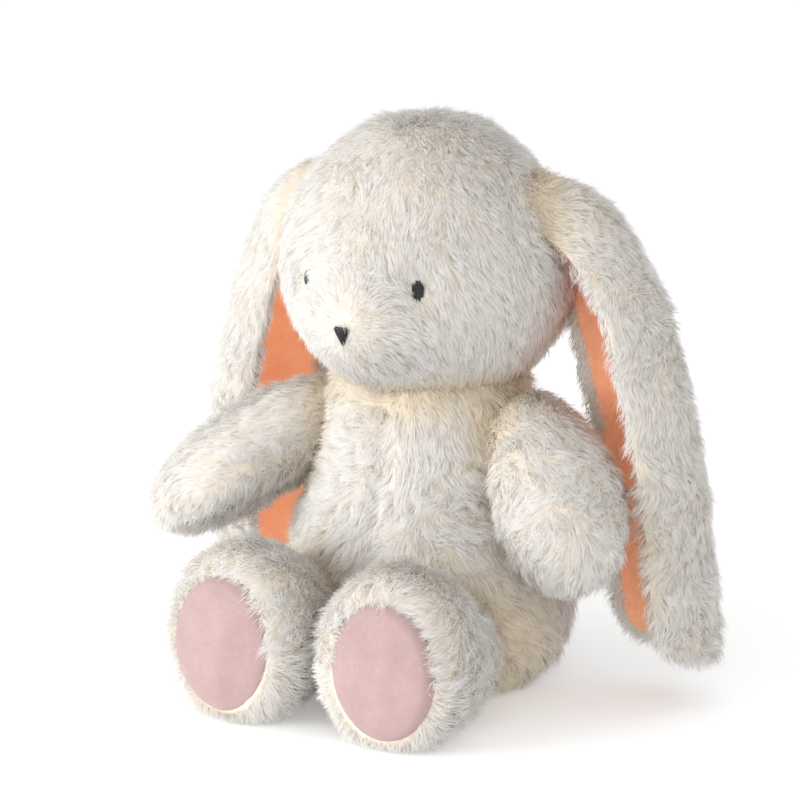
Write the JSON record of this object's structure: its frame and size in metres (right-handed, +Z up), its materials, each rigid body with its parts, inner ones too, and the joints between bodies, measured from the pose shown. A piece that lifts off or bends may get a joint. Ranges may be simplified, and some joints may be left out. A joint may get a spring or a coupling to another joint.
{
  "type": "stuffed bunny rabbit",
  "caption": "Sitting soft plush bunny with long drooping lined ears, round snout, mitten arms and short legs with oval foot pads.",
  "frame": {"origin": "middle of the flat seat, on the surface that the bunny sits on", "axes": "+Z up, the bunny faces -Y, +X is the bunny's own left"},
  "size_m": [0.2806, 0.212, 0.271],
  "materials": {
    "ivory_fur": "soft long-pile plush fur, ivory white",
    "peach_lining": "short velour, peach",
    "pink_velour": "short knitted velour, blush pink",
    "black_thread": "satin-stitched black embroidery thread",
    "white_thread": "strong off-white sewing thread",
    "stuffing": "polyester fibre filling",
    "pouch_cloth": "plain woven cotton pouch filled with pellets"
  },
  "bodies": {
    "torso": {"torso_front_left": "ivory_fur", "torso_front_right": "ivory_fur", "torso_back_left": "ivory_fur", "torso_back_right": "ivory_fur", "seat_panel": "ivory_fur", "torso_stuffing": "stuffing", "seat_pellet_pouch": "pouch_cloth", "tail_fur": "ivory_fur", "tail_stuffing": "stuffing"},
    "neck": {"neck_gather_thread": "white_thread"},
    "head": {"head_top_gusset": "ivory_fur", "head_side_left": "ivory_fur", "head_side_right": "ivory_fur", "cheek_left": "ivory_fur", "cheek_right": "ivory_fur", "head_stuffing": "stuffing", "left_eye": "black_thread", "right_eye": "black_thread", "nose_embroidery": "black_thread"},
    "left_ear": {"left_ear_fur": "ivory_fur", "left_ear_lining": "peach_lining"},
    "left_arm": {"left_arm_inner_fur": "ivory_fur", "left_arm_outer_fur": "ivory_fur", "left_arm_stuffing": "stuffing"},
    "left_leg": {"left_leg_inner_fur": "ivory_fur", "left_leg_outer_fur": "ivory_fur", "left_foot_pad": "pink_velour", "left_leg_stuffing": "stuffing"},
    "right_ear": {"right_ear_fur": "ivory_fur", "right_ear_lining": "peach_lining"},
    "right_arm": {"right_arm_inner_fur": "ivory_fur", "right_arm_outer_fur": "ivory_fur", "right_arm_stuffing": "stuffing"},
    "right_leg": {"right_leg_inner_fur": "ivory_fur", "right_leg_outer_fur": "ivory_fur", "right_foot_pad": "pink_velour", "right_leg_stuffing": "stuffing"}
  },
  "joints": [
    {"name": "neck_turn", "type": "hinge", "parent": "torso", "child": "neck", "pos_m": [0, 0, 0.14], "axis": [0, 0, 1], "range_deg": [-5, 5]},
    {"name": "neck_nod", "type": "hinge", "parent": "neck", "child": "head", "pos_m": [0, 0, 0.14], "axis": [1, 0, 0], "range_deg": [-6, 13]},
    {"name": "left_ear_lift", "type": "hinge", "parent": "head", "child": "left_ear", "pos_m": [0.054, 0.004, 0.239], "axis": [0, -1, 0], "range_deg": [0, 100]},
    {"name": "right_ear_lift", "type": "hinge", "parent": "head", "child": "right_ear", "pos_m": [-0.054, 0.004, 0.239], "axis": [0, 1, 0], "range_deg": [0, 100]},
    {"name": "left_arm_swing", "type": "hinge", "parent": "torso", "child": "left_arm", "pos_m": [0.046, -0.004, 0.126], "axis": [-1, 0, 0], "range_deg": [-4, 75]},
    {"name": "right_arm_swing", "type": "hinge", "parent": "torso", "child": "right_arm", "pos_m": [-0.046, -0.004, 0.126], "axis": [-1, 0, 0], "range_deg": [-15, 40]},
    {"name": "left_leg_swing", "type": "hinge", "parent": "torso", "child": "left_leg", "pos_m": [0.037, -0.044, 0.032], "axis": [1, 0, 0], "range_deg": [-10, 35]},
    {"name": "right_leg_swing", "type": "hinge", "parent": "torso", "child": "right_leg", "pos_m": [-0.037, -0.044, 0.032], "axis": [1, 0, 0], "range_deg": [-10, 35]}
  ]
}
